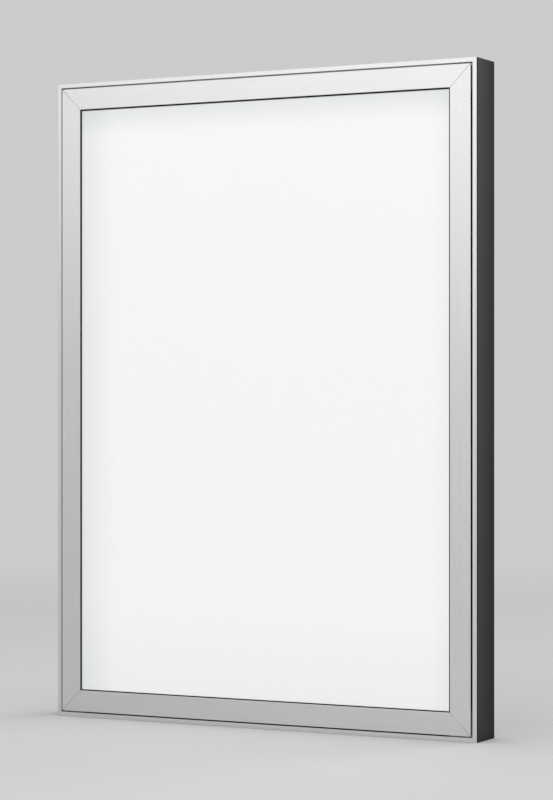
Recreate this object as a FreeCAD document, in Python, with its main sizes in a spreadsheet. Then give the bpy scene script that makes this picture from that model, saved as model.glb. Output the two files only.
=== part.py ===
import FreeCAD, Part
import math
import os
import types

import Sketcher

# A slim LED light box with a four-side snap frame, standing upright.
# Frame: X to the right, Y backwards (the lit face looks towards -Y), Z up.
# Origin: the middle of the box's underside. Lengths are in millimetres.
#
# Every rail is drawn in the frame of its own side: X along the rail from its middle, Z inwards from
# the box's outer edge (called inset), Y backwards. Depth is measured back from the front face.

SIZES = {
    # the whole box
    "frame_width": 450,
    "frame_height": 624,
    "frame_depth": 42,
    # snap covers: plate, hinge ring that wraps the base rail's bead, and rib for the lip seal
    "cover_tip_inset": 5.5,
    "cover_inner_edge": 26.4,
    "cover_thickness": 1.5,
    "cover_edge_radius": 0.4,
    "cover_tip_radius": 0.15,
    "cover_mitre_gap": 0.2,
    "pivot_inset": 7.4,
    "pivot_depth": 2.3,
    "ring_bore_radius": 1.25,
    "ring_below": 65,
    "ring_sweep": 193,
    "ring_end_trim": 10.2,
    "seal_rib_inset": 22.3,
    "seal_rib_width": 1.2,
    "seal_rib_depth": 0.4,
    # lip seals on the covers' inner edges
    "lip_inner_edge": 27.4,
    "lip_front": 0.5,
    "lip_back": 2.15,
    "lip_edge_radius": 0.3,
    # snap base rails
    "rim_width": 4.3,
    "rim_front": 0.8,
    "rim_thickness": 1.0,
    "rim_edge_radius": 0.35,
    "base_wall": 1.4,
    "leg_inset": 2.2,
    "web_front": 8.5,
    "web_inner_edge": 25,
    "stalk_width": 0.9,
    "bead_radius": 1.2,
    "stop_rib_inset": 13.3,
    "stop_rib_width": 1.2,
    "stop_rib_front": 2.4,
    # sheets held by the frame
    "sheet_width": 420,
    "sheet_height": 594,
    "clear_sheet_front": 2.2,
    "clear_sheet_thickness": 1.0,
    "graphic_gap": 0.3,
    "diffuser_thickness": 3.0,
    "tape_outer_inset": 16,
    "tape_width": 8,
    "tape_end_gap": 1,
    # housing rails
    "housing_front": 3.6,
    "housing_edge_radius": 0.5,
    "wall_thickness": 2.0,
    "front_flange_thickness": 1.6,
    "front_flange_inner_edge": 24,
    "return_lip_depth": 2.5,
    "key_channel_front": 15,
    "key_channel_back": 33,
    "key_channel_width": 5.2,
    "key_channel_wall": 1.2,
    "key_channel_lip": 2.4,
    "rear_flange_front": 36.5,
    "rear_flange_thickness": 1.5,
    "rear_flange_inner_edge": 14,
    # back panel and reflector
    "back_panel_gap": 0.2,
    "back_panel_thickness": 2.0,
    "reflector_gap": 0.2,
    "reflector_thickness": 0.5,
    "back_screw_inset": 8,
    "wall_hole_spacing_across": 370,
    "wall_hole_spacing_up": 540,
    "wall_hole_radius": 2.75,
    "reflector_hole_radius": 5.0,
    # corner keys
    "housing_key_leg": 28,
    "housing_key_clearance": 0.1,
    "grub_radius": 1.9,
    "grub_length": 4.2,
    "grub_from_corner": 22,
    "base_key_leg": 25,
    "base_key_front": 5.6,
    "base_key_inset": 3.75,
    "base_key_width": 3.05,
    # screws
    "base_screw_inset": 10.6,
    "base_screw_head_radius": 2.5,
    "base_screw_head_height": 1.5,
    "base_screw_radius": 1.25,
    "base_screw_length": 5.5,
    "back_screw_head_radius": 2.9,
    "back_screw_head_height": 1.6,
    "back_screw_radius": 1.5,
    "back_screw_length": 5.0,
    "bar_screw_head_radius": 2.2,
    "bar_screw_head_height": 1.1,
    "bar_screw_radius": 1.0,
    "bar_screw_length": 3.2,
    "screw_clearance": 0.1,
    # leaf springs under the covers
    "spring_width": 20,
    "spring_thickness": 0.5,
    "spring_foot_inset": 8.6,
    "spring_heel_inset": 12.6,
    "spring_knee_depth": 4.9,
    "spring_tip_inset": 9.45,
    "spring_tip_depth": 3.9,
    "spring_knee_thickness": 0.375,
    "spring_tip_taper": 0.167,
    # LED bars
    "bar_width": 12,
    "bar_length": 560,
    "bar_thickness": 1.0,
    "bar_pitch": 100,
    "led_pitch": 71.5,
    "led_width": 2.8,
    "led_height": 3.5,
    "led_thickness": 0.7,
    "lens_radius": 5.5,
    "lens_base": 1.2,
    "lens_recess_radius": 2.4,
    "lens_recess_depth": 1.6,
    # terminal blocks and wires
    "block_width": 10.4,
    "block_depth": 4.0,
    "block_height": 8.0,
    "block_above_bar_end": 0.5,
    "port_pitch": 2.4,
    "port_radius": 0.9,
    "port_length": 5.0,
    "wire_radius": 0.8,
    "wire_bend": 3.0,
    "wire_in_port": 4.0,
    "wire_run_high": 26,
    "wire_run_low": 21,
    "clip_width": 8,
    "clip_margin": 3,
    "clip_front": 33,
    # power inlet in the underside
    "inlet_across": -155,
    "inlet_depth": 24,
    "window_length": 60,
    "window_width": 20,
    "tray_clearance": 0.2,
    "tray_wall": 1.5,
    "tray_floor": 9,
    "tray_flange_length": 74,
    "tray_flange_width": 24,
    "tray_flange_notch": 76,
    "tray_flange_bottom": 2.1,
    "tray_flange_thickness": 1.2,
    "tray_screw_offset": 33.5,
    "tray_screw_head_radius": 2.8,
    "tray_screw_radius": 1.45,
    "tray_screw_length": 4.9,
    "flush_setback": 0.1,
    # rocker switch
    "switch_offset": -15,
    "bezel_length": 15,
    "bezel_width": 10.5,
    "bezel_thickness": 1.8,
    "case_length": 13.3,
    "case_width": 8.3,
    "case_height": 12,
    "case_clearance": 0.15,
    "rocker_well_length": 10.8,
    "rocker_well_width": 6.2,
    "rocker_well_depth": 8,
    "rocker_pivot_height": 8.6,
    "rocker_radius": 5.2,
    "rocker_width": 5.9,
    "rocker_valley": 1.8,
    "rocker_slope": 10,
    "rocker_keel": 3,
    "rocker_pin_radius": 0.6,
    "rocker_pin_length": 6.9,
    "rocker_pin_clearance": 0.05,
    # DC jack
    "jack_offset": 14,
    "jack_flange_radius": 5.5,
    "jack_flange_thickness": 1.5,
    "jack_barrel_radius": 3.9,
    "jack_barrel_length": 10,
    "jack_bore_radius": 2.85,
    "jack_bore_depth": 10,
    "jack_pin_radius": 1.05,
    "jack_pin_setback": 1.0,
    "nut_across_flats": 11,
    "nut_thickness": 2.5,
    "blade_thickness": 0.8,
    "blade_width": 3.5,
    "blade_length": 5,
    "switch_blade_offset": 3.5,
    "jack_blade_offset": 2,
}

SIDES = ("bottom", "top", "left", "right")
CORNERS = ("bottom_left", "bottom_right", "top_left", "top_right")
LED_COUNT = 8
BAR_COUNT = 4
LEDS_TO_SCREW = 3  # LED pitches from a bar's middle to its outer screws

# where pieces sit along a rail, as shares of its length from its middle
ACROSS = ("bottom", "top")
BASE_SCREWS = {"across": (-0.4, -0.14, 0.14, 0.4), "up": (-0.42, -0.16, 0.16, 0.42)}
SPRINGS = {"across": (-0.27, 0.27), "up": (-0.32, 0.0, 0.32)}
BACK_SCREWS = {"across": (-0.38, 0.0, 0.38), "up": (-0.39, -0.13, 0.13, 0.39)}

# proportions of the screws' heads
CROWN_SHARE = 0.6  # flat crown to head radius
SHOULDER_SHARE = 0.55  # straight shoulder to head height
RECESS_REACH_SHARE = 0.5  # recess arm to head radius
RECESS_WIDTH_SHARE = 0.22  # recess arm's width to head radius
PAN_RECESS_SHARE = 0.6  # recess depth to head height
FLUSH_RECESS_SHARE = 0.8
SOCKET_SHARE = 1 / 3  # socket depth to set screw length

V = FreeCAD.Vector
Y_AXIS = V(0, 1, 0)
TO_FRONT = FreeCAD.Rotation(V(1, 0, 0), 90)  # turns a piece's +Z towards the front
TO_BACK = FreeCAD.Rotation(V(1, 0, 0), -90)  # turns a piece's +Z towards the back
BEYOND = 1.0  # how far a cutter reaches past the face it starts from
NEAR = 1e-4  # positions closer than this are the same
WIRE_VOLUME_TOLERANCE = 0.01


class Dim:
    """A length in millimetres together with the spreadsheet formula that gives it."""

    def __init__(self, value, formula):
        self.value = float(value)
        self.formula = formula

    def __add__(self, other):
        other = dim(other)
        return Dim(self.value + other.value, f"({self.formula} + {other.formula})")

    def __sub__(self, other):
        other = dim(other)
        return Dim(self.value - other.value, f"({self.formula} - {other.formula})")

    def __mul__(self, number):
        return Dim(self.value * number, f"({self.formula} * {number})")

    def __truediv__(self, number):
        return Dim(self.value / number, f"({self.formula} / {number})")

    def __neg__(self):
        return Dim(-self.value, f"(0 - {self.formula})")

    def __radd__(self, other):
        return dim(other) + self

    def __rsub__(self, other):
        return dim(other) - self

    def __rmul__(self, number):
        return self * number


def dim(number):
    """A plain number as a Dim; a Dim stays as it is."""
    return number if isinstance(number, Dim) else Dim(number, f"({float(number)})")


doc = FreeCAD.newDocument("LightBox")
sheet = doc.addObject("Spreadsheet::Sheet", "Sizes")
for row, (alias, value) in enumerate(SIZES.items(), start=1):
    sheet.set(f"A{row}", alias)
    sheet.set(f"B{row}", str(value))
    sheet.setAlias(f"B{row}", alias)
doc.recompute()
size = types.SimpleNamespace(**{name: Dim(value, f"Sizes.{name}") for name, value in SIZES.items()})
nodes = []

# positions that several pieces share
half_depth = size.frame_depth / 2
half_width = size.frame_width / 2
half_height = size.frame_height / 2
web_back = size.web_front + size.base_wall
diffuser_front = size.clear_sheet_front + size.clear_sheet_thickness + size.graphic_gap
diffuser_back = diffuser_front + size.diffuser_thickness
panel_front = size.rear_flange_front + size.rear_flange_thickness
panel_back = panel_front + size.back_panel_thickness
reflector_front = panel_front - size.reflector_thickness
board_front = reflector_front - size.bar_thickness
bar_bottom = half_height - size.bar_length / 2
block_bottom = bar_bottom + size.block_above_bar_end
port_depth = board_front - size.block_depth / 2
switch_across = size.inlet_across + size.switch_offset
jack_across = size.inlet_across + size.jack_offset
inlet_y = size.inlet_depth - half_depth
bezel_bottom = size.tray_floor - size.bezel_thickness
case_top = size.tray_floor + size.case_height
jack_bottom = size.tray_floor - size.jack_flange_thickness
jack_top = size.tray_floor + size.jack_barrel_length


# ---------------------------------------------------------------- drawing helpers


def bind(obj, prop, amount):
    """Ties a property to the sheet's formula."""
    obj.setExpression(prop, dim(amount).formula)


def place(obj, x=0, y=0, z=0, rotation=None):
    """Puts an object at a place whose coordinates stay tied to the sheet."""
    spot = V(*(dim(amount).value for amount in (x, y, z)))
    obj.Placement = FreeCAD.Placement(spot, rotation or FreeCAD.Rotation())
    for axis, amount in zip("xyz", (x, y, z)):
        bind(obj, f"Placement.Base.{axis}", amount)


def new_body(label, node=True):
    body = doc.addObject("PartDesign::Body", label)
    if node:
        nodes.append(body)
    return body


def new_sketch(body, name, role, offset=0):
    """A sketch on one of the body's own origin planes, moved along the plane's normal by offset."""
    sketch = body.newObject("Sketcher::SketchObject", name)
    plane = [feature for feature in body.Origin.OriginFeatures if feature.Role == role][0]
    sketch.AttachmentSupport = [(plane, "")]
    sketch.MapMode = "FlatFace"
    bind(sketch, "AttachmentOffset.Base.z", offset)
    return sketch


def pin_point(sketch, geometry, point, x, y):
    """Fixes a sketch point at (x, y), each tied to the sheet."""
    for kind, amount in (("DistanceX", dim(x)), ("DistanceY", dim(y))):
        index = sketch.addConstraint(Sketcher.Constraint(kind, -1, 1, geometry, point, amount.value))
        sketch.setExpression(f"Constraints[{index}]", amount.formula)


def add_outline(sketch, points):
    """A closed outline of straight lines through the points."""
    spots = [V(dim(x).value, dim(y).value, 0) for x, y in points]
    lines = [
        sketch.addGeometry(Part.LineSegment(start, end))
        for start, end in zip(spots, spots[1:] + spots[:1])
    ]
    for line, following in zip(lines, lines[1:] + lines[:1]):
        sketch.addConstraint(Sketcher.Constraint("Coincident", line, 2, following, 1))
    for line, (x, y) in zip(lines, points):
        pin_point(sketch, line, 1, x, y)


def add_circle(sketch, x, y, radius):
    centre = V(dim(x).value, dim(y).value, 0)
    circle = sketch.addGeometry(Part.Circle(centre, V(0, 0, 1), dim(radius).value))
    pin_point(sketch, circle, 3, x, y)
    index = sketch.addConstraint(Sketcher.Constraint("Radius", circle, dim(radius).value))
    sketch.setExpression(f"Constraints[{index}]", dim(radius).formula)


def draw(sketch, outlines=(), circles=()):
    for points in outlines:
        add_outline(sketch, points)
    for x, y, radius in circles:
        add_circle(sketch, x, y, radius)


def rectangle(centre_x, centre_y, width, height):
    left, right = centre_x - width / 2, centre_x + width / 2
    low, high = centre_y - height / 2, centre_y + height / 2
    return [(left, low), (right, low), (right, high), (left, high)]


def material_taken(body, feature, before):
    """Stops the build if a cutting feature left the body's volume as it was."""
    doc.recompute()
    if not feature.Shape.Volume < before:
        raise RuntimeError(f"{feature.Name} of {body.Label} cuts nothing")


def volume_so_far(body):
    doc.recompute()
    return body.Tip.Shape.Volume


def extrude(body, kind, name, sketch, length, reverse=False):
    """A pad or pocket of a sketch, with its length tied to the sheet."""
    before = volume_so_far(body) if kind == "Pocket" else None
    feature = body.newObject(f"PartDesign::{kind}", name)
    feature.Profile = sketch
    feature.Reversed = reverse
    bind(feature, "Length", length)
    if before is not None:
        material_taken(body, feature, before)
    return feature


def pad_up(body, name, bottom, height, outlines=(), circles=()):
    """Material drawn in X and Y, from the height bottom upwards."""
    sketch = new_sketch(body, f"{name}Sketch", "XY_Plane", bottom)
    draw(sketch, outlines, circles)
    return extrude(body, "Pad", name, sketch, height)


def cut_up(body, name, bottom, height, outlines=(), circles=()):
    """A cut drawn in X and Y, from the height bottom upwards."""
    sketch = new_sketch(body, f"{name}Sketch", "XY_Plane", bottom)
    draw(sketch, outlines, circles)
    return extrude(body, "Pocket", name, sketch, height, reverse=True)


def pad_back(body, name, front, thickness, outlines=(), circles=()):
    """Material drawn in X and Z, from the depth front backwards. Inner circles are holes."""
    sketch = new_sketch(body, f"{name}Sketch", "XZ_Plane", half_depth - front)
    draw(sketch, outlines, circles)
    return extrude(body, "Pad", name, sketch, thickness, reverse=True)


def cut_back(body, name, front, thickness, outlines=(), circles=()):
    """A cut drawn in X and Z, from the depth front backwards."""
    sketch = new_sketch(body, f"{name}Sketch", "XZ_Plane", half_depth - front)
    draw(sketch, outlines, circles)
    return extrude(body, "Pocket", name, sketch, thickness)


def turn_profile(body, points):
    """A body turned about Z from an outline of (radius, height) points."""
    sketch = new_sketch(body, "TurnSketch", "XZ_Plane")
    draw(sketch, [points])
    feature = body.newObject("PartDesign::Revolution", "Turned")
    feature.Profile = sketch
    feature.ReferenceAxis = (sketch, ["V_Axis"])
    feature.Angle = 360
    return feature


def round_piece(body, kind, name, radius, length, x, y, z, rotation=None):
    """A cylinder that adds to or cuts from a body. Its own axis is Z before the rotation."""
    cutting = kind.startswith("Subtractive")
    before = volume_so_far(body) if cutting else None
    feature = body.newObject(f"PartDesign::{kind}", name)
    bind(feature, "Radius", radius)
    bind(feature, "Height", length)
    place(feature, x, y, z, rotation)
    if cutting:
        material_taken(body, feature, before)
    return feature


def group(label, prototype, placements):
    """One node of identical separate pieces: a copy of the prototype's shape at each placement."""
    doc.recompute()
    copies = []
    for placement in placements:
        copy = prototype.Shape.copy()
        copy.Placement = placement
        copies.append(copy)
    obj = doc.addObject("Part::Feature", label)
    obj.Shape = Part.makeCompound(copies)
    nodes.append(obj)
    return obj


# ---------------------------------------------------------------- the frames of sides and corners


def side_frame(side):
    """A side's rail length, and where its frame sits: its origin and its turn about Y in degrees."""
    frames = {
        "bottom": (size.frame_width, (0, 0, 0), 0),
        "top": (size.frame_width, (0, 0, size.frame_height), 180),
        "left": (size.frame_height, (-half_width, 0, half_height), 90),
        "right": (size.frame_height, (half_width, 0, half_height), -90),
    }
    return frames[side]


def corner_frame(corner):
    """A corner's origin, and the turn about Y that points its X and Z along the two rails."""
    frames = {
        "bottom_left": ((-half_width, 0, 0), 0),
        "bottom_right": ((half_width, 0, 0), -90),
        "top_left": ((-half_width, 0, size.frame_height), 90),
        "top_right": ((half_width, 0, size.frame_height), 180),
    }
    return frames[corner]


def fixed_placement(origin, turn):
    return FreeCAD.Placement(V(*(dim(c).value for c in origin)), FreeCAD.Rotation(Y_AXIS, turn))


def in_frame(frame, x, depth, z, rotation=None):
    """A placement given in a side's or corner's frame."""
    spot = V(dim(x).value, dim(depth - half_depth).value, dim(z).value)
    return frame.multiply(FreeCAD.Placement(spot, rotation or FreeCAD.Rotation()))


def on_side(side, along, depth, inset, rotation=None):
    return in_frame(fixed_placement(*side_frame(side)[1:]), along, depth, inset, rotation)


def in_box(x, depth, z, rotation=None):
    """A placement in the box's own frame, with depth measured from the front face."""
    return in_frame(FreeCAD.Placement(), x, depth, z, rotation)


# ---------------------------------------------------------------- rails


def extrude_section(body, points, length):
    """Pads a cross-section of (inset, depth) points along the rail, centred on it."""
    sketch = new_sketch(body, "SectionSketch", "YZ_Plane")
    draw(sketch, [[(depth - half_depth, inset) for inset, depth in points]])
    feature = body.newObject("PartDesign::Pad", "Section")
    feature.Profile = sketch
    feature.SideType = "Symmetric"
    bind(feature, "Length", length)
    return feature


def round_long_edges(body, name, points, radius):
    """Rounds the edges that run along the rail through the given (inset, depth) points."""
    doc.recompute()
    base = body.Tip
    names = []
    for number, edge in enumerate(base.Shape.Edges, start=1):
        box = edge.BoundBox
        thin = box.YLength < NEAR and box.ZLength < NEAR
        for inset, depth in points:
            there = abs(box.ZMin - dim(inset).value) < NEAR
            there = there and abs(box.YMin - dim(depth - half_depth).value) < NEAR
            if thin and there:
                names.append(f"Edge{number}")
    if len(names) != len(points):
        raise RuntimeError(f"{body.Label}: found {len(names)} edges to round, not {len(points)}")
    feature = body.newObject("PartDesign::Fillet", name)
    feature.Base = (base, names)
    bind(feature, "Radius", radius)


def mitre_ends(body, length, gap=0):
    """Cuts both ends of a rail at 45 degrees, so that it is shorter by 1 mm a side per mm of inset."""
    reach = size.frame_depth
    sketch = new_sketch(body, "MitreSketch", "XZ_Plane")
    for end in (-1, 1):
        tip = length / 2 - gap
        outside = length / 2 + BEYOND
        corners = [(tip + BEYOND, dim(-BEYOND)), (outside + BEYOND, dim(-BEYOND))]
        corners += [(outside + BEYOND, reach), (tip - reach, reach)]
        add_outline(sketch, [(end * x, z) for x, z in corners])
    before = volume_so_far(body)
    feature = body.newObject("PartDesign::Pocket", "Mitre")
    feature.Profile = sketch
    feature.SideType = "Symmetric"
    feature.Type = "ThroughAll"
    material_taken(body, feature, before)


def place_on_side(body, side):
    _, origin, turn = side_frame(side)
    place(body, *origin, FreeCAD.Rotation(Y_AXIS, turn))


def housing_section():
    """Outer wall with a front flange and return lip, two hooked ribs for the corner keys, a rear flange."""
    wall = size.wall_thickness
    flange_back = web_back + size.front_flange_thickness
    lip_back = flange_back + size.return_lip_depth
    flange_edge = size.front_flange_inner_edge
    lip_edge = flange_edge - size.front_flange_thickness
    rib = size.key_channel_wall
    rib_edge = wall + size.key_channel_width
    front_rib, back_rib = size.key_channel_front, size.key_channel_back
    hook = size.key_channel_lip
    rear_edge = size.rear_flange_inner_edge
    return [
        (dim(0), size.housing_front),
        (wall, size.housing_front),
        (wall, web_back),
        (flange_edge, web_back),
        (flange_edge, lip_back),
        (lip_edge, lip_back),
        (lip_edge, flange_back),
        (wall, flange_back),
        (wall, front_rib),
        (rib_edge, front_rib),
        (rib_edge, front_rib + rib + hook),
        (rib_edge - rib, front_rib + rib + hook),
        (rib_edge - rib, front_rib + rib),
        (wall, front_rib + rib),
        (wall, back_rib - rib),
        (rib_edge - rib, back_rib - rib),
        (rib_edge - rib, back_rib - rib - hook),
        (rib_edge, back_rib - rib - hook),
        (rib_edge, back_rib),
        (wall, back_rib),
        (wall, size.rear_flange_front),
        (rear_edge, size.rear_flange_front),
        (rear_edge, panel_front),
        (wall, panel_front),
        (wall, size.frame_depth),
        (dim(0), size.frame_depth),
    ]


def stations(shares, side):
    """Positions along a side's rail, from its middle."""
    length = side_frame(side)[0]
    return [length * share for share in shares["across" if side in ACROSS else "up"]]


def rail_holes(body, name, spots, inset, radius, front, thickness):
    cut_back(body, name, front, thickness, circles=[(along, inset, radius) for along in spots])


def housing_rail(side):
    length = side_frame(side)[0]
    body = new_body(f"housing_rail_{side}")
    extrude_section(body, housing_section(), length)
    outer_edges = [(0, size.housing_front), (0, size.frame_depth)]
    round_long_edges(body, "OuterEdges", outer_edges, size.housing_edge_radius)
    mitre_ends(body, length)
    base_hole = size.base_screw_radius + size.screw_clearance
    back_hole = size.back_screw_radius + size.screw_clearance
    rail_holes(body, "BaseScrewHoles", stations(BASE_SCREWS, side), size.base_screw_inset,
               base_hole, web_back, size.front_flange_thickness)
    rail_holes(body, "BackScrewHoles", stations(BACK_SCREWS, side), size.back_screw_inset,
               back_hole, size.rear_flange_front, size.rear_flange_thickness)
    if side == "bottom":
        inlet_window(body)
    place_on_side(body, side)


def inlet_window(body):
    """The window for the inlet tray: through the wall, wider through the ribs, with screw holes."""
    centre = (size.inlet_across, inlet_y)
    wall = size.wall_thickness
    window = rectangle(*centre, size.window_length, size.window_width)
    notch = rectangle(*centre, size.tray_flange_notch, size.tray_flange_width)
    cut_up(body, "Window", 0, wall, [window])
    cut_up(body, "RibNotch", wall, size.key_channel_width, [notch])
    hole = size.tray_screw_radius + size.screw_clearance
    sink = size.tray_screw_head_radius + size.screw_clearance * 2
    for name, end in (("Left", -1), ("Right", 1)):
        across = size.inlet_across + size.tray_screw_offset * end
        before = volume_so_far(body)
        cone = body.newObject("PartDesign::SubtractiveCone", f"Countersink{name}")
        bind(cone, "Radius1", sink)
        bind(cone, "Radius2", hole)
        bind(cone, "Height", sink - hole)
        place(cone, across, inlet_y, 0)
        material_taken(body, cone, before)
        round_piece(body, "SubtractiveCylinder", f"ScrewHole{name}", hole, wall, across, inlet_y, 0)


def base_section():
    """Rim, outer leg, web, the stalk that carries the hinge bead, and the stop rib for the sheets."""
    rim_back = size.rim_front + size.rim_thickness
    leg_edge = size.leg_inset + size.base_wall
    stalk_low = size.pivot_inset - size.stalk_width / 2
    stalk_high = size.pivot_inset + size.stalk_width / 2
    rib_high = size.stop_rib_inset + size.stop_rib_width
    return [
        (dim(0), size.rim_front),
        (size.rim_width, size.rim_front),
        (size.rim_width, rim_back),
        (leg_edge, rim_back),
        (leg_edge, size.web_front),
        (stalk_low, size.web_front),
        (stalk_low, size.pivot_depth),
        (stalk_high, size.pivot_depth),
        (stalk_high, size.web_front),
        (size.stop_rib_inset, size.web_front),
        (size.stop_rib_inset, size.stop_rib_front),
        (rib_high, size.stop_rib_front),
        (rib_high, size.web_front),
        (size.web_inner_edge, size.web_front),
        (size.web_inner_edge, web_back),
        (size.leg_inset, web_back),
        (size.leg_inset, rim_back),
        (dim(0), rim_back),
    ]


def along_rail(start_angle):
    """Turns a cylinder's axis along the rail, with its seam at an angle from inwards towards the front."""
    angle = math.radians(start_angle)
    seam = V(0, -math.sin(angle), math.cos(angle))
    axis = V(1, 0, 0)
    return FreeCAD.Rotation(seam, axis.cross(seam), axis, "ZXY")


def rail_cylinder(body, kind, name, radius, length, start_angle=0, sweep=None):
    """A cylinder about the hinge line, or a sector of one, over the rail's whole length."""
    pivot_y = size.pivot_depth - half_depth
    feature = round_piece(body, kind, name, radius, length, -length / 2, pivot_y, size.pivot_inset,
                          along_rail(start_angle))
    if sweep is not None:
        feature.setExpression("Angle", f"{sweep.formula} * 1 deg")
    return feature


def snap_base(side):
    length = side_frame(side)[0]
    body = new_body(f"snap_base_{side}")
    extrude_section(body, base_section(), length)
    rail_cylinder(body, "AdditiveCylinder", "HingeBead", size.bead_radius, length)
    rim_edges = [(0, size.rim_front), (size.rim_width, size.rim_front)]
    round_long_edges(body, "RimEdges", rim_edges, size.rim_edge_radius)
    mitre_ends(body, length)
    hole = size.base_screw_radius + size.screw_clearance
    rail_holes(body, "ScrewHoles", stations(BASE_SCREWS, side), size.base_screw_inset, hole,
               size.web_front, size.base_wall)
    place_on_side(body, side)


def cover_section():
    """The cover's plate, with the rib that backs its lip seal. Its outer tip is undercut towards the
    hinge line, so that two neighbouring covers clear each other at the corner when both are open."""
    rib_high = size.seal_rib_inset + size.seal_rib_width
    rib_back = size.cover_thickness + size.seal_rib_depth
    return [
        (size.cover_tip_inset, dim(0)),
        (size.cover_inner_edge, dim(0)),
        (size.cover_inner_edge, size.cover_thickness),
        (rib_high, size.cover_thickness),
        (rib_high, rib_back),
        (size.seal_rib_inset, rib_back),
        (size.seal_rib_inset, size.cover_thickness),
        (size.pivot_inset, size.cover_thickness),
        (size.pivot_inset, size.pivot_depth),
    ]


def snap_cover(side):
    length = side_frame(side)[0]
    body = new_body(f"snap_cover_{side}")
    extrude_section(body, cover_section(), length)
    rail_cylinder(body, "AdditiveCylinder", "HingeRing", size.pivot_depth, length,
                  -size.ring_below.value, size.ring_sweep)
    rail_cylinder(body, "SubtractiveCylinder", "RingBore", size.ring_bore_radius, length)
    round_long_edges(body, "InnerEdge", [(size.cover_inner_edge, 0)], size.cover_edge_radius)
    round_long_edges(body, "TipEdge", [(size.cover_tip_inset, 0)], size.cover_tip_radius)
    # behind the plate the ring stops short of the corner, so that it clears the neighbour's rail
    for name, start in (("TrimLeft", -length / 2), ("TrimRight", length / 2 - size.ring_end_trim)):
        before = volume_so_far(body)
        trim = body.newObject("PartDesign::SubtractiveBox", name)
        bind(trim, "Length", size.ring_end_trim)
        bind(trim, "Width", size.pivot_depth * 2)
        bind(trim, "Height", size.pivot_depth * 2 + BEYOND)
        place(trim, start, size.cover_thickness - half_depth, size.pivot_inset - size.pivot_depth)
        material_taken(body, trim, before)
    mitre_ends(body, length, size.cover_mitre_gap)
    place_on_side(body, side)


def lip_seal(side):
    """The soft strip under a cover's inner edge, with a nose that closes the edge."""
    length = side_frame(side)[0]
    body = new_body(f"cover_lip_seal_{side}")
    outer = size.seal_rib_inset + size.seal_rib_width
    section = [
        (outer, size.cover_thickness),
        (size.cover_inner_edge, size.cover_thickness),
        (size.cover_inner_edge, size.lip_front),
        (size.lip_inner_edge, size.lip_front),
        (size.lip_inner_edge, size.lip_back),
        (outer, size.lip_back),
    ]
    extrude_section(body, section, length)
    nose = [(size.lip_inner_edge, size.lip_front), (size.lip_inner_edge, size.lip_back)]
    round_long_edges(body, "NoseEdges", nose, size.lip_edge_radius)
    mitre_ends(body, length, size.cover_mitre_gap)
    place_on_side(body, side)


def spring_shape():
    """A bent leaf: a foot on the base rail's web, an upright, and an arm that reaches for the ring."""
    leaf = size.spring_thickness
    foot, heel = size.spring_foot_inset, size.spring_heel_inset
    tip, tip_depth = size.spring_tip_inset, size.spring_tip_depth
    section = [
        (foot, size.web_front),
        (heel, size.web_front),
        (heel, size.spring_knee_depth),
        (tip, tip_depth),
        (tip - size.spring_tip_taper, tip_depth + leaf),
        (heel - leaf, size.spring_knee_depth + size.spring_knee_thickness),
        (heel - leaf, size.web_front - leaf),
        (foot, size.web_front - leaf),
    ]
    body = new_body("spring_pattern", node=False)
    extrude_section(body, section, size.spring_width)
    return body


# ---------------------------------------------------------------- sheets and panels


def plain_sheet(label, width, height, front, thickness):
    """A plain rectangular sheet, centred in the frame."""
    obj = doc.addObject("Part::Box", label)
    bind(obj, "Length", width)
    bind(obj, "Width", thickness)
    bind(obj, "Height", height)
    place(obj, -width / 2, front - half_depth, half_height - height / 2)
    nodes.append(obj)


def wall_holes(radius):
    across, up = size.wall_hole_spacing_across / 2, size.wall_hole_spacing_up / 2
    return [(across * i, half_height + up * k, radius) for i in (-1, 1) for k in (-1, 1)]


def back_screw_spots():
    """(x, z) of the back panel's screws, all round."""
    spots = []
    inset = size.back_screw_inset
    for across in stations(BACK_SCREWS, "bottom"):
        spots += [(across, inset), (across, size.frame_height - inset)]
    for up in stations(BACK_SCREWS, "left"):
        spots += [(-half_width + inset, half_height + up), (half_width - inset, half_height + up)]
    return spots


def bar_centres():
    first = size.bar_pitch * (-(BAR_COUNT - 1) / 2)
    return [first + size.bar_pitch * index for index in range(BAR_COUNT)]


def bar_screw_heights():
    """Screws midway between LEDs: at the bar's middle, and some LED pitches each way."""
    return [half_height + size.led_pitch * step for step in (-LEDS_TO_SCREW, 0, LEDS_TO_SCREW)]


def bar_screw_holes():
    hole = size.bar_screw_radius + size.screw_clearance
    return [(x, z, hole) for x in bar_centres() for z in bar_screw_heights()]


def back_panel():
    margin = (size.wall_thickness + size.back_panel_gap) * 2
    outline = rectangle(dim(0), half_height, size.frame_width - margin, size.frame_height - margin)
    hole = size.back_screw_radius + size.screw_clearance
    circles = [(x, z, hole) for x, z in back_screw_spots()]
    circles += wall_holes(size.wall_hole_radius) + bar_screw_holes()
    body = new_body("back_panel")
    pad_back(body, "Panel", panel_front, size.back_panel_thickness, [outline], circles)


def led_heights():
    return [half_height + size.led_pitch * (index - (LED_COUNT - 1) / 2) for index in range(LED_COUNT)]


def reflector_sheet():
    margin = (size.rear_flange_inner_edge + size.reflector_gap) * 2
    outline = rectangle(dim(0), half_height, size.frame_width - margin, size.frame_height - margin)
    circles = bar_screw_holes() + wall_holes(size.reflector_hole_radius)
    body = new_body("reflector_sheet")
    pad_back(body, "Sheet", reflector_front, size.reflector_thickness, [outline], circles)


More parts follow.
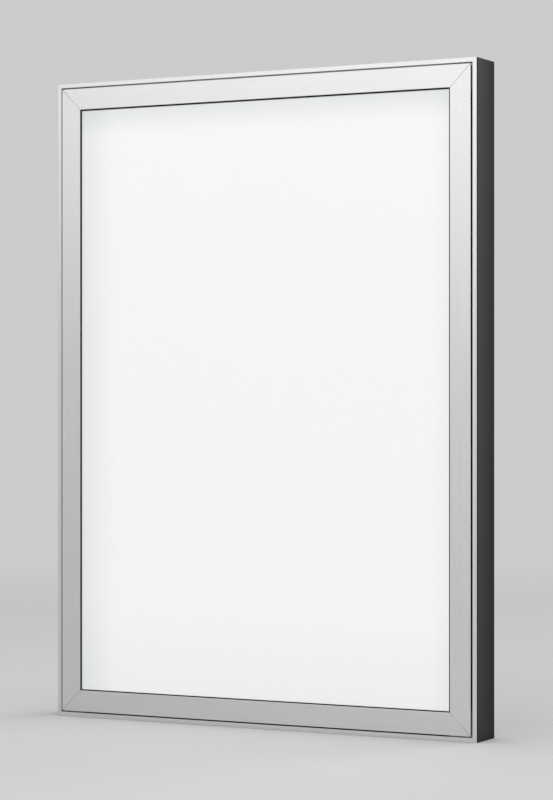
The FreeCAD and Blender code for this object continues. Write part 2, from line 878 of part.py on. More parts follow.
def foam_tape():
    """Four strips of foam tape between the diffuser and the base rails' webs."""
    outer, width = size.tape_outer_inset, size.tape_width
    across = size.frame_width - outer * 2
    up = size.frame_height - (outer + width + size.tape_end_gap) * 2
    low, high = outer + width / 2, size.frame_height - outer - width / 2
    left, right = -half_width + outer + width / 2, half_width - outer - width / 2
    strips = [rectangle(dim(0), z, across, width) for z in (low, high)]
    strips += [rectangle(x, half_height, width, up) for x in (left, right)]
    body = new_body("diffuser_foam_tape")
    body.AllowCompound = True
    pad_back(body, "Strips", diffuser_back, size.web_front - diffuser_back, strips)


# ---------------------------------------------------------------- corner keys and screws


def corner_key(label, inset, width, leg, front, thickness, node=True):
    """An L-shaped key in a corner's frame, with a leg along each rail."""
    low, high, end = inset, inset + width, inset + leg
    outline = [(low, low), (end, low), (end, high), (high, high), (high, end), (low, end)]
    body = new_body(label, node)
    pad_back(body, "Key", front, thickness, [outline])
    return body


def housing_corner_key(corner):
    slack = size.housing_key_clearance
    rib = size.key_channel_wall
    front = size.key_channel_front + rib + slack
    thickness = size.key_channel_back - rib - slack - front
    inset = size.wall_thickness + slack
    width = size.key_channel_width - rib - slack * 2
    key = corner_key(f"housing_corner_key_{corner}", inset, width, size.housing_key_leg, front, thickness)
    hole = size.grub_radius + size.screw_clearance
    middle = front + thickness / 2 - half_depth
    to_x = FreeCAD.Rotation(Y_AXIS, 90)
    spot = size.grub_from_corner
    round_piece(key, "SubtractiveCylinder", "GrubHoleAlongX", hole, inset + width, spot, middle, 0)
    round_piece(key, "SubtractiveCylinder", "GrubHoleAlongZ", hole, inset + width, 0, middle, spot, to_x)
    origin, turn = corner_frame(corner)
    place(key, *origin, FreeCAD.Rotation(Y_AXIS, turn))


def hexagon(across_flats):
    reach = across_flats / math.sqrt(3)
    angles = [math.radians(60 * step) for step in range(6)]
    return [(reach * math.cos(angle), reach * math.sin(angle)) for angle in angles]


def grub_shape():
    """A socket set screw standing on z = 0."""
    body = new_body("grub_pattern", node=False)
    pad_up(body, "Thread", 0, size.grub_length, circles=[(0, 0, size.grub_radius)])
    socket = size.grub_length * SOCKET_SHARE
    cut_up(body, "Socket", size.grub_length - socket, socket, [hexagon(size.grub_radius)])
    return body


def grub_spots():
    """Two per corner key, one in each leg, pressing on the outer wall."""
    depth = (size.key_channel_front + size.key_channel_back) / 2
    inset = size.wall_thickness + size.housing_key_clearance
    spots = []
    for corner in CORNERS:
        frame = fixed_placement(*corner_frame(corner))
        spots.append(in_frame(frame, size.grub_from_corner, depth, inset))
        spots.append(in_frame(frame, inset, depth, size.grub_from_corner, FreeCAD.Rotation(Y_AXIS, 90)))
    return spots


def cross_recess(head_radius):
    """Outline of a cross recess: four arms, in proportion to the head."""
    reach = head_radius * RECESS_REACH_SHARE
    arm = head_radius * RECESS_WIDTH_SHARE / 2
    quarter = [(reach, -arm), (reach, arm), (arm, arm)]
    outline = []
    for _ in range(4):
        outline += quarter
        quarter = [(-y, x) for x, y in quarter]
    return outline


def pan_screw(name, head_radius, head_height, radius, length):
    """A pan-head screw with a cross recess: its head stands on z = 0 and its shank hangs below."""
    body = new_body(name, node=False)
    crown = head_radius * CROWN_SHARE
    shoulder = head_height * SHOULDER_SHARE
    turn_profile(body, [
        (dim(0), -length),
        (radius, -length),
        (radius, dim(0)),
        (head_radius, dim(0)),
        (head_radius, shoulder),
        (crown, head_height),
        (dim(0), head_height),
    ])
    depth = head_height * PAN_RECESS_SHARE
    cut_up(body, "Recess", head_height - depth, depth, [cross_recess(head_radius)])
    return body


def flush_screw():
    """A countersunk screw standing head down on z = 0."""
    body = new_body("flush_screw_pattern", node=False)
    head, shank = size.tray_screw_head_radius, size.tray_screw_radius
    turn_profile(body, [
        (dim(0), dim(0)),
        (head, dim(0)),
        (shank, head - shank),
        (shank, size.tray_screw_length),
        (dim(0), size.tray_screw_length),
    ])
    cut_up(body, "Recess", 0, (head - shank) * FLUSH_RECESS_SHARE, [cross_recess(head)])
    return body


# ---------------------------------------------------------------- light source


def led_bar(number, across):
    body = new_body(f"led_bar_{number}")
    outline = rectangle(dim(0), half_height, size.bar_width, size.bar_length)
    hole = size.bar_screw_radius + size.screw_clearance
    circles = [(0, z, hole) for z in bar_screw_heights()]
    pad_back(body, "Board", board_front, size.bar_thickness, [outline], circles)
    place(body, across, 0, 0)


def led_package():
    body = new_body("led_pattern", node=False)
    outline = rectangle(dim(0), dim(0), size.led_width, size.led_height)
    pad_up(body, "Package", 0, size.led_thickness, [outline])
    return body


def led_lens():
    """A diffusing dome on a short collar, hollow underneath where it covers the LED."""
    body = new_body("lens_pattern", node=False)
    dome = body.newObject("PartDesign::AdditiveSphere", "Dome")
    bind(dome, "Radius", size.lens_radius)
    dome.Angle1 = 0
    place(dome, 0, 0, size.lens_base)
    pad_up(body, "Collar", 0, size.lens_base, circles=[(0, 0, size.lens_radius)])
    cut_up(body, "Recess", 0, size.lens_recess_depth, circles=[(0, 0, size.lens_recess_radius)])
    return body


def port_offsets():
    """Across positions of a terminal block's four ports: in +, in -, out -, out +."""
    return [size.port_pitch * step for step in (-1.5, -0.5, 0.5, 1.5)]


def terminal_block():
    body = new_body("block_pattern", node=False)
    outline = rectangle(dim(0), dim(0), size.block_width, size.block_depth)
    pad_up(body, "Block", 0, size.block_height, [outline])
    ports = [(x, 0, size.port_radius) for x in port_offsets()]
    cut_up(body, "Ports", 0, size.port_length, circles=ports)
    return body


def wire_clip():
    """An adhesive saddle with one passage for each of the two wires."""
    body = new_body("clip_pattern", node=False)
    low, high = size.wire_run_low - size.clip_margin, size.wire_run_high + size.clip_margin
    thickness = reflector_front - size.clip_front
    outline = rectangle(dim(0), (low + high) / 2, size.clip_width, high - low)
    pad_back(body, "Saddle", size.clip_front, thickness, [outline])
    for name, height in (("LowPassage", size.wire_run_low), ("HighPassage", size.wire_run_high)):
        round_piece(body, "SubtractiveCylinder", name, size.port_radius, size.clip_width,
                    -size.clip_width / 2, port_depth - half_depth, height, FreeCAD.Rotation(Y_AXIS, 90))
    return body


# ---------------------------------------------------------------- wires


def wire_solid(points):
    """A round wire along straight runs joined by tangent arcs, through (x, depth, z) points."""
    spots = [V(dim(x).value, dim(depth - half_depth).value, dim(z).value) for x, depth, z in points]
    bend = size.wire_bend.value
    edges = []
    last = spots[0]
    for before, corner, after in zip(spots, spots[1:], spots[2:]):
        back, ahead = (before - corner).normalize(), (after - corner).normalize()
        turn = math.pi - back.getAngle(ahead)
        tangent = bend * math.tan(turn / 2)
        middle = corner + (back + ahead).normalize() * (bend / math.cos(turn / 2) - bend)
        edges.append(Part.LineSegment(last, corner + back * tangent).toShape())
        edges.append(Part.Arc(corner + back * tangent, middle, corner + ahead * tangent).toShape())
        last = corner + ahead * tangent
    edges.append(Part.LineSegment(last, spots[-1]).toShape())
    path = Part.Wire(edges)
    radius = size.wire_radius.value
    section = Part.Wire(Part.Circle(spots[0], spots[1] - spots[0], radius).toShape())
    solid = path.makePipeShell([section], True, False)
    expected = math.pi * radius**2 * path.Length
    if abs(solid.Volume - expected) > expected * WIRE_VOLUME_TOLERANCE:
        raise RuntimeError("a wire's volume is not its section times its length")
    return solid


def jumper(start, end, run):
    """A wire from one port down to a horizontal run and up into the next bar's port."""
    top = block_bottom + size.wire_in_port
    return wire_solid([
        (start, port_depth, top),
        (start, port_depth, run),
        (end, port_depth, run),
        (end, port_depth, top),
    ])


def feed(blade_across, blade_top, rise, port_across, run):
    """A wire from an inlet terminal up, back and into the first bar's port from below."""
    depth = size.inlet_depth
    top = block_bottom + size.wire_in_port
    return wire_solid([
        (blade_across, depth, blade_top),
        (blade_across, depth, blade_top + rise),
        (port_across, port_depth, run),
        (port_across, port_depth, top),
    ])


def wires():
    """Positive and negative leads: inlet to the first bar, then bar to bar, and jack to switch."""
    in_plus, in_minus, out_minus, out_plus = port_offsets()
    bars = bar_centres()
    rise = size.blade_length
    switch_top, jack_top_end = case_top + size.blade_length, jack_top + size.blade_length
    switch_left = switch_across - size.switch_blade_offset
    switch_right = switch_across + size.switch_blade_offset
    jack_left, jack_right = jack_across - size.jack_blade_offset, jack_across + size.jack_blade_offset
    link_height = switch_top + rise
    depth = size.inlet_depth
    link = [(jack_left, depth, jack_top_end), (jack_left, depth, link_height)]
    link += [(switch_right, depth, link_height), (switch_right, depth, switch_top)]
    positive = [wire_solid(link)]
    positive.append(feed(switch_left, switch_top, rise, bars[0] + in_plus, size.wire_run_high))
    negative = [feed(jack_right, jack_top_end, rise, bars[0] + in_minus, size.wire_run_low)]
    for bar, following in zip(bars, bars[1:]):
        positive.append(jumper(bar + out_plus, following + in_plus, size.wire_run_high))
        negative.append(jumper(bar + out_minus, following + in_minus, size.wire_run_low))
    for label, solids in (("wires_positive", positive), ("wires_negative", negative)):
        obj = doc.addObject("Part::Feature", label)
        obj.Shape = Part.makeCompound(solids)
        nodes.append(obj)


# ---------------------------------------------------------------- power inlet


def inlet_tray():
    """An open-bottomed box set into the window, held by a flange inside the wall."""
    body = new_body("inlet_tray")
    centre = (size.inlet_across, inlet_y)
    bottom = size.tray_clearance
    wall, top = size.tray_wall, size.tray_floor + size.tray_wall
    length = size.window_length - size.tray_clearance * 2
    width = size.window_width - size.tray_clearance * 2
    pad_up(body, "Box", bottom, top - bottom, [rectangle(*centre, length, width)])
    flange = rectangle(*centre, size.tray_flange_length, size.tray_flange_width)
    pad_up(body, "Flange", size.tray_flange_bottom, size.tray_flange_thickness, [flange])
    inside = rectangle(*centre, length - wall * 2, width - wall * 2)
    cut_up(body, "Recess", bottom, size.tray_floor - bottom, [inside])
    slack = size.case_clearance * 2
    switch_hole = rectangle(switch_across, inlet_y, size.case_length + slack, size.case_width + slack)
    jack_hole = (jack_across, inlet_y, size.jack_barrel_radius + size.case_clearance)
    cut_up(body, "FloorHoles", size.tray_floor, wall, [switch_hole], [jack_hole])
    hole = size.tray_screw_radius + size.screw_clearance
    circles = [(size.inlet_across + size.tray_screw_offset * end, inlet_y, hole) for end in (-1, 1)]
    cut_up(body, "FlangeHoles", size.tray_flange_bottom, size.tray_flange_thickness, circles=circles)


def rocker_case():
    """The switch's case with its bezel, hollow where the rocker tips, with a dimple for each pin."""
    body = new_body("rocker_switch_case")
    centre = (switch_across, inlet_y)
    bezel = rectangle(*centre, size.bezel_length, size.bezel_width)
    case = rectangle(*centre, size.case_length, size.case_width)
    pad_up(body, "Bezel", bezel_bottom, size.bezel_thickness, [bezel])
    pad_up(body, "Case", size.tray_floor, size.case_height, [case])
    well = rectangle(*centre, size.rocker_well_length, size.rocker_well_width)
    cut_up(body, "Well", bezel_bottom, size.rocker_well_depth, [well])
    dimple = size.rocker_pin_length + size.rocker_pin_clearance * 2
    radius = size.rocker_pin_radius + size.rocker_pin_clearance
    round_piece(body, "SubtractiveCylinder", "PinDimples", radius, dimple,
                switch_across, inlet_y - dimple / 2, size.rocker_pivot_height, TO_BACK)


def rocker_paddle():
    """A drum cut to a shallow valley outside and a flat keel inside, with a pin at each end."""
    body = new_body("rocker_switch_paddle")
    radius, width = size.rocker_radius, size.rocker_width
    round_piece(body, "AdditiveCylinder", "Drum", radius, width, 0, -width / 2, 0, TO_BACK)
    rise = radius * math.tan(math.radians(size.rocker_slope.value))
    valley = -size.rocker_valley
    below = -radius - BEYOND
    crest = valley - rise
    outside = [(-radius, crest), (dim(0), valley), (radius, crest), (radius, below), (-radius, below)]
    keel = size.rocker_keel
    inside = [(-radius, keel), (radius, keel), (radius, radius), (-radius, radius)]
    front = half_depth - width / 2
    cut_back(body, "Faces", front, width, [outside, inside])
    round_piece(body, "AdditiveCylinder", "Pins", size.rocker_pin_radius, size.rocker_pin_length,
                0, -size.rocker_pin_length / 2, 0, TO_BACK)
    place(body, switch_across, inlet_y, size.rocker_pivot_height,
          FreeCAD.Rotation(Y_AXIS, size.rocker_slope.value))


def dc_jack():
    barrel, bore = size.jack_barrel_radius, size.jack_bore_radius
    body = new_body("dc_jack_body")
    bore_top = jack_bottom + size.jack_bore_depth
    turn_profile(body, [
        (bore, jack_bottom),
        (size.jack_flange_radius, jack_bottom),
        (size.jack_flange_radius, size.tray_floor),
        (barrel, size.tray_floor),
        (barrel, jack_top),
        (dim(0), jack_top),
        (dim(0), bore_top),
        (bore, bore_top),
    ])
    place(body, jack_across, inlet_y, 0)
    pin_bottom = jack_bottom + size.jack_pin_setback
    pin = new_body("dc_jack_pin")
    pin_circle = (jack_across, inlet_y, size.jack_pin_radius)
    pad_up(pin, "Pin", pin_bottom, bore_top - pin_bottom, circles=[pin_circle])
    nut = new_body("dc_jack_nut")
    hexagonal = [(jack_across + x, inlet_y + y) for x, y in hexagon(size.nut_across_flats)]
    thread = (jack_across, inlet_y, barrel + size.screw_clearance)
    pad_up(nut, "Nut", size.tray_floor + size.tray_wall, size.nut_thickness, [hexagonal], [thread])


def blade():
    body = new_body("blade_pattern", node=False)
    outline = rectangle(dim(0), dim(0), size.blade_thickness, size.blade_width)
    pad_up(body, "Blade", 0, size.blade_length, [outline])
    return body


def blade_spots():
    spots = []
    for end in (-1, 1):
        spots.append(in_box(switch_across + size.switch_blade_offset * end, size.inlet_depth, case_top))
        spots.append(in_box(jack_across + size.jack_blade_offset * end, size.inlet_depth, jack_top))
    return spots


# ---------------------------------------------------------------- the assembly

for side in SIDES:
    housing_rail(side)
for side in SIDES:
    snap_base(side)
for side in SIDES:
    snap_cover(side)
for side in SIDES:
    lip_seal(side)

spring = spring_shape()
for side in SIDES:
    # the leaf is drawn in a side's frame, so each copy only moves along its rail
    spots = [on_side(side, along, half_depth, dim(0)) for along in stations(SPRINGS, side)]
    group(f"cover_springs_{side}", spring, spots)

for corner in CORNERS:
    housing_corner_key(corner)
group("corner_key_grub_screws", grub_shape(), grub_spots())
base_key = corner_key("base_key_pattern", size.base_key_inset, size.base_key_width, size.base_key_leg,
                      size.base_key_front, size.web_front - size.base_key_front, node=False)
base_key_spots = [fixed_placement(*corner_frame(corner)) for corner in CORNERS]
group("snap_base_corner_keys", base_key, base_key_spots)

base_screw = pan_screw("base_screw_pattern", size.base_screw_head_radius, size.base_screw_head_height,
                       size.base_screw_radius, size.base_screw_length)
group("snap_base_screws", base_screw, [
    on_side(side, along, size.web_front, size.base_screw_inset, TO_FRONT)
    for side in SIDES for along in stations(BASE_SCREWS, side)
])

plain_sheet("clear_cover_sheet", size.sheet_width, size.sheet_height, size.clear_sheet_front,
            size.clear_sheet_thickness)
plain_sheet("opal_diffuser", size.sheet_width, size.sheet_height, diffuser_front, size.diffuser_thickness)
foam_tape()
reflector_sheet()
back_panel()
back_screw = pan_screw("back_screw_pattern", size.back_screw_head_radius, size.back_screw_head_height,
                       size.back_screw_radius, size.back_screw_length)
back_spots = [in_box(x, panel_back, z, TO_BACK) for x, z in back_screw_spots()]
group("back_panel_screws", back_screw, back_spots)

for number, across in enumerate(bar_centres(), start=1):
    led_bar(number, across)
led_spots = [in_box(x, board_front, z, TO_FRONT) for x in bar_centres() for z in led_heights()]
group("led_packages", led_package(), led_spots)
group("led_lenses", led_lens(), led_spots)
bar_screw = pan_screw("bar_screw_pattern", size.bar_screw_head_radius, size.bar_screw_head_height,
                      size.bar_screw_radius, size.bar_screw_length)
bar_spots = [in_box(x, board_front, z, TO_FRONT) for x in bar_centres() for z in bar_screw_heights()]
group("led_bar_screws", bar_screw, bar_spots)
block_spots = [in_box(x, port_depth, block_bottom) for x in bar_centres()]
group("terminal_blocks", terminal_block(), block_spots)
wires()
clip_spots = [(left + right) / 2 for left, right in zip(bar_centres(), bar_centres()[1:])]
group("wire_clips", wire_clip(), [in_box(x, half_depth, dim(0)) for x in clip_spots])

inlet_tray()
group("inlet_tray_screws", flush_screw(), [
    in_box(size.inlet_across + size.tray_screw_offset * end, size.inlet_depth, size.flush_setback)
    for end in (-1, 1)
])
rocker_case()
rocker_paddle()
dc_jack()
group("power_terminals", blade(), blade_spots())

# ---------------------------------------------------------------- checks and export

doc.recompute()
for obj in doc.Objects:
    if "Invalid" in obj.State or "Error" in obj.State:
        raise RuntimeError(f"{obj.Label} failed to compute: {obj.State}")
for obj in doc.Objects:
    if obj.TypeId == "Sketcher::SketchObject" and not obj.FullyConstrained:
        raise RuntimeError(f"{obj.Label} of {obj.getParentGeoFeatureGroup().Label} isn't fully constrained")

os.makedirs("parts", exist_ok=True)
for obj in nodes:
    if obj.Shape.isNull() or not obj.Shape.isValid():
        raise RuntimeError(f"{obj.Label} has no valid shape")
    obj.Shape.exportStep(f"parts/{obj.Label}.step")
    box = obj.Shape.BoundBox
    corners = [round(c, 2) for c in (box.XMin, box.YMin, box.ZMin, box.XMax, box.YMax, box.ZMax)]
    print(obj.Label, len(obj.Shape.Solids), "solids", corners)
print(len(nodes), "nodes")
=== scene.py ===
import math

import bpy
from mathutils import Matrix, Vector


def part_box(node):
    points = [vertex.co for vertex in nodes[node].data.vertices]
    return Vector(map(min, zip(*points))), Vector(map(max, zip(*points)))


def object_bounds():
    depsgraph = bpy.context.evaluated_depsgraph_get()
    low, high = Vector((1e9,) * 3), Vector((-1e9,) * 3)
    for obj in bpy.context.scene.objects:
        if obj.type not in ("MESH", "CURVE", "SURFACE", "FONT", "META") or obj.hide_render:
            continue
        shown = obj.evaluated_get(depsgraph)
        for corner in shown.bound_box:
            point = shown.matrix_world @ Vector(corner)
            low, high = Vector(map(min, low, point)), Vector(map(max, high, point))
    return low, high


# A slim LED light box with a silver snap frame, on a plain pale floor. Lengths are in metres.
# Every texture is laid out in object coordinates, which are the frame's own: X right, Y back, Z up.

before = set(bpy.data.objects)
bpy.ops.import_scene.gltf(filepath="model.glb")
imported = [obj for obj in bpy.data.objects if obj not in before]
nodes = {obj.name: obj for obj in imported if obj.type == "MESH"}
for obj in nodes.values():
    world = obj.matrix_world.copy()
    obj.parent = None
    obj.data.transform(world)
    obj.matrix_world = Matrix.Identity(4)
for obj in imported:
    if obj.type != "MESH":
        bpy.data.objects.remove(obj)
cad_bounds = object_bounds()
low, high = cad_bounds
centre = (low + high) / 2

SIDES = ("bottom", "top", "left", "right")
CORNERS = ("bottom_left", "bottom_right", "top_left", "top_right")
RUN_AXIS = {"bottom": "X", "top": "X", "left": "Z", "right": "Z"}
LED_BAR_COUNT = 4
MILLIMETRE = 0.001

# ---------------------------------------------------------------- camera

VIEW_AZIMUTH = math.radians(27.78)
VIEW_DISTANCE = 2.517
VIEW_LENS = 117.82  # mm, on the camera's default 36 mm sensor
AIM_BEHIND = 16.6 * MILLIMETRE  # how far behind the middle of the depth the camera's line of view is aimed
AIM = Vector((0.0, AIM_BEHIND, centre.z))


def make_camera():
    """The camera stands level with the middle of the box, to the right of its front."""
    data = bpy.data.cameras.new("camera")
    data.lens = VIEW_LENS
    camera = bpy.data.objects.new("camera", data)
    bpy.context.scene.collection.objects.link(camera)
    towards = Vector((math.sin(VIEW_AZIMUTH), -math.cos(VIEW_AZIMUTH), 0.0))
    camera.location = AIM + towards * VIEW_DISTANCE
    camera.rotation_euler = (-towards).to_track_quat("-Z", "Y").to_euler()
    bpy.context.scene.camera = camera


make_camera()

# ---------------------------------------------------------------- material tools


class Graph:
    """A material and its node graph."""

    def __init__(self, name):
        self.material = bpy.data.materials.new(name)
        self.material.use_nodes = True
        tree = self.material.node_tree
        self.nodes, self.links = tree.nodes, tree.links
        self.shader = self.nodes["Principled BSDF"]
        self.output = self.nodes["Material Output"]

    def put(self, socket, value):
        """Links a socket or sets its value."""
        if isinstance(value, bpy.types.NodeSocket):
            self.links.new(value, socket)
        else:
            socket.default_value = value

    def add(self, kind, inputs=(), **settings):
        """A new node, with its settings made and its inputs linked or set."""
        node = self.nodes.new(kind)
        for name, value in settings.items():
            setattr(node, name, value)
        for name, value in dict(inputs).items():
            self.put(node.inputs[name], value)
        return node

    def principled(self, **inputs):
        """Sets the shader's inputs, named with underscores for spaces."""
        for name, value in inputs.items():
            self.put(self.shader.inputs[name.replace("_", " ")], value)

    def coordinates(self):
        return self.add("ShaderNodeTexCoord").outputs["Object"]

    def noise(self, scale, stretch=(1, 1, 1), detail=2.0):
        """Noise from about 0.3 to 0.7, in coordinates scaled along each axis."""
        place = self.add("ShaderNodeMapping", {"Vector": self.coordinates(), "Scale": stretch})
        inputs = {"Vector": place.outputs["Vector"], "Scale": scale, "Detail": detail}
        return self.add("ShaderNodeTexNoise", inputs).outputs["Fac"]

    def spread(self, value, to_low, to_high, from_low=0.3, from_high=0.7):
        """Maps a factor onto a range of values. The source range is a noise's unless it is given."""
        inputs = {
            "Value": value, "From Min": from_low, "From Max": from_high, "To Min": to_low, "To Max": to_high,
        }
        return self.add("ShaderNodeMapRange", inputs).outputs["Result"]

    def maths(self, operation, first, second):
        node = self.add("ShaderNodeMath", operation=operation)
        self.put(node.inputs[0], first)
        self.put(node.inputs[1], second)
        return node.outputs["Value"]

    def mean(self, first, second, share):
        """A weighted mean of two factors. The share is the first one's."""
        parts = [self.maths("MULTIPLY", first, share), self.maths("MULTIPLY", second, 1 - share)]
        return self.maths("ADD", *parts)

    def tint(self, factor, first, second):
        """A colour between two others."""
        node = self.add("ShaderNodeMix", {"Factor": factor}, data_type="RGBA")
        first_socket, second_socket = (socket for socket in node.inputs if socket.type == "RGBA")
        self.put(first_socket, (*first, 1.0))
        self.put(second_socket, (*second, 1.0))
        return next(socket for socket in node.outputs if socket.type == "RGBA")

    def darken(self, value):
        """Multiplies the shader's linked base colour by a value."""
        plain = self.shader.inputs["Base Color"].links[0].from_socket
        colour = self.add("ShaderNodeHueSaturation", {"Color": plain, "Value": value})
        self.principled(Base_Color=colour.outputs["Color"])

    def mix_surface(self, share, first, second):
        """Makes a mix of two shaders the material's surface. The share is the second one's."""
        blend = self.add("ShaderNodeMixShader", {"Fac": share})
        first_socket, second_socket = (socket for socket in blend.inputs if socket.type == "SHADER")
        self.put(first_socket, first)
        self.put(second_socket, second)
        self.put(self.output.inputs["Surface"], blend.outputs["Shader"])

    def ramp(self, axis, start, end, interpolation="LINEAR"):
        """0 to 1 between two positions on an axis."""
        split = self.add("ShaderNodeSeparateXYZ", {"Vector": self.coordinates()})
        inputs = {"Value": split.outputs[axis], "From Min": start, "From Max": end}
        return self.add("ShaderNodeMapRange", inputs, interpolation_type=interpolation).outputs["Result"]

    def bump(self, height, distance, strength=1.0, under=None):
        """Normals bumped by a height, over other normals if they are given."""
        inputs = {"Height": height, "Distance": distance, "Strength": strength}
        if under is not None:
            inputs["Normal"] = under
        return self.add("ShaderNodeBump", inputs).outputs["Normal"]

    def soft_edges(self, radius):
        """Normals that turn smoothly over the sharp edges."""
        return self.add("ShaderNodeBevel", {"Radius": radius}, samples=4).outputs["Normal"]


def shade(colour, amount):
    """A colour made lighter or darker."""
    return tuple(min(1.0, part * amount) for part in colour)


def lines_along(axis, across=60.0):
    """A stretch that draws noise out into lines along an axis."""
    return tuple(1.0 if name == axis else across for name in "XYZ")


# ---------------------------------------------------------------- metals

SILVER = (0.7, 0.695, 0.697)
SILVER_ROUGHNESS = 0.36
GRAPHITE = (0.035, 0.0338, 0.0346)
GRAPHITE_ROUGHNESS = 0.42
# Painted light and shade on the graphite: its brightness and gloss fall from front to rear, and both are
# painted lighter from bottom to top.
PAINTED_DARKENING_FRONT, PAINTED_DARKENING_REAR = 1.05, 0.38
PAINTED_SHEEN_FRONT, PAINTED_SHEEN_REAR = 0.36, 0.08
PAINTED_LIGHT_BOTTOM, PAINTED_LIGHT_TOP = 0.62, 1.3

# Where the base rails carry painted shade: near the outer edge, and behind a depth. Both limits fade.
PAINTED_SHADE_INSET = 6.5 * MILLIMETRE
PAINTED_SHADE_INSET_FADE = 0.5 * MILLIMETRE
PAINTED_SHADE_DEPTH = 1.05 * MILLIMETRE
PAINTED_SHADE_DEPTH_FADE = 0.2 * MILLIMETRE
PAINTED_SHADE_LEVEL = 0.08


def extruded_metal(name, colour, roughness, axis, variation):
    """Anodised aluminium: faint die lines along the rail, an etched grain, and slow shifts of tone."""
    graph = Graph(name)
    lines = graph.noise(scale=14.0, stretch=lines_along(axis), detail=4.0)
    grain = graph.noise(scale=2600.0, detail=1.0)
    clouds = graph.noise(scale=5.0, detail=3.0)
    tone = graph.spread(graph.mean(lines, clouds, 0.6), 0, 1)
    colour_now = graph.tint(tone, shade(colour, 1 - variation), shade(colour, 1 + variation))
    rough = graph.maths("ADD", graph.spread(lines, roughness - 0.03, roughness + 0.03),
                        graph.spread(grain, -0.015, 0.015))
    normal = graph.soft_edges(0.15 * MILLIMETRE)
    normal = graph.bump(lines, 0.02 * MILLIMETRE, strength=0.5, under=normal)
    normal = graph.bump(grain, 0.01 * MILLIMETRE, strength=0.35, under=normal)
    graph.principled(Base_Color=colour_now, Metallic=1.0, Roughness=rough, Normal=normal)
    return graph


def silver(axis, name="silver_anodised"):
    """Plain bright anodising, as on the covers."""
    return extruded_metal(f"{name}_{axis}", SILVER, SILVER_ROUGHNESS, axis, 0.015)


def silver_with_painted_shade(axis):
    """The covers' silver, with painted shade behind the rim's front: in the hinge channel and on the outer
    flank, so the groove and the gap beside the rim read as dark shadow lines.
    """
    graph = silver(axis, "silver_with_painted_shade")
    across = "Z" if axis == "X" else "X"
    near, far = (low.z, high.z) if across == "Z" else (low.x, high.x)
    inner = PAINTED_SHADE_INSET + PAINTED_SHADE_INSET_FADE
    near_edge = graph.ramp(across, near + inner, near + PAINTED_SHADE_INSET)
    far_edge = graph.ramp(across, far - inner, far - PAINTED_SHADE_INSET)
    front = low.y + PAINTED_SHADE_DEPTH
    behind = graph.ramp("Y", front, front + PAINTED_SHADE_DEPTH_FADE)
    # The painted shade mask: the outer strip of the rail, behind the rim's front.
    black = graph.maths("MULTIPLY", graph.maths("ADD", near_edge, far_edge), behind)
    graph.darken(graph.spread(black, 1.0, PAINTED_SHADE_LEVEL, 0, 1))
    return graph


def graphite(axis):
    """Dark anodising over a slightly coarser extrusion, with painted shade towards the rear and low down, and
    painted light and sheen towards the top.
    """
    graph = extruded_metal(f"graphite_anodised_{axis}", GRAPHITE, GRAPHITE_ROUGHNESS, axis, 0.06)
    # Painted shade and sheen: darker and less glossy towards the rear, lighter and glossier towards the top.
    rearward = graph.ramp("Y", low.y, high.y)
    painted_top_light = graph.spread(graph.ramp("Z", low.z, high.z), PAINTED_LIGHT_BOTTOM, PAINTED_LIGHT_TOP, 0, 1)
    painted_rear_shade = graph.spread(rearward, PAINTED_DARKENING_FRONT, PAINTED_DARKENING_REAR, 0, 1)
    gloss = graph.spread(rearward, PAINTED_SHEEN_FRONT, PAINTED_SHEEN_REAR, 0, 1)
    graph.darken(graph.maths("MULTIPLY", painted_rear_shade, painted_top_light))
    graph.principled(Metallic=0.15, IOR=1.4, Specular_IOR_Level=graph.maths("MULTIPLY", gloss, painted_top_light))
    return graph


def plain_metal(name, colour, roughness, grain_scale=1200.0, grain_depth=0.01 * MILLIMETRE):
    """Small steel and brass parts: a worked surface with tiny marks and uneven polish."""
    graph = Graph(name)
    marks = graph.noise(grain_scale, detail=4.0)
    polish = graph.noise(scale=180.0, detail=3.0)
    colour_now = graph.tint(graph.spread(polish, 0, 1), shade(colour, 0.9), shade(colour, 1.08))
    graph.principled(Base_Color=colour_now, Metallic=1.0,
                     Roughness=graph.spread(polish, roughness - 0.06, roughness + 0.08),
                     Normal=graph.bump(marks, grain_depth, 0.6, graph.soft_edges(0.1 * MILLIMETRE)))
    return graph


def rolled_sheet():
    """Mill-finish aluminium sheet: rolling lines along the height, and slow grey clouds."""
    graph = Graph("back_sheet")
    lines = graph.noise(scale=9.0, stretch=lines_along("Z", across=90.0), detail=5.0)
    clouds = graph.noise(scale=7.0, stretch=(1, 1, 0.5), detail=4.0)
    tone = graph.mean(lines, clouds, 0.5)
    colour = graph.tint(graph.spread(tone, 0, 1), (0.50, 0.505, 0.51), (0.66, 0.66, 0.665))
    graph.principled(Base_Color=colour, Metallic=0.9, Roughness=graph.spread(tone, 0.36, 0.5),
                     Normal=graph.bump(lines, 0.03 * MILLIMETRE, 0.4, graph.soft_edges(0.2 * MILLIMETRE)))
    return graph


# ---------------------------------------------------------------- plastics and rubber

PANEL_GLOW = 0.81
PANEL_HIDDEN_EDGE = 12.4 * MILLIMETRE  # how much of the diffuser's edge the frame hides
PAINTED_LIP_SHADOW_DROP = 0.3 * MILLIMETRE  # how far the painted shadow line at the top lip reaches below it
PAINTED_LIP_SHADOW_HEIGHT = 0.8 * MILLIMETRE
PAINTED_LIP_SHADOW_FADE = 0.1 * MILLIMETRE
PAINTED_LIP_SHADOW_LEVEL = 0.1
REFLECTED_FACE_ON, REFLECTED_EDGE_ON = 0.022, 0.6  # the share of light that the clear sheet reflects
REFLECTION_RISE = 5.0  # the power by which that share grows with the slant


def rubber():
    """Matt black rubber with a fine grain and a trace of dust."""
    graph = Graph("black_rubber")
    grain = graph.noise(scale=1400.0, detail=3.0)
    dust = graph.noise(scale=40.0, detail=4.0)
    colour = graph.tint(graph.spread(dust, 0, 1), (0.003, 0.003, 0.003), (0.006, 0.006, 0.006))
    graph.principled(Base_Color=colour, Roughness=graph.spread(grain, 0.7, 0.85), Specular_IOR_Level=0.08,
                     Normal=graph.bump(grain, 0.03 * MILLIMETRE))
    return graph


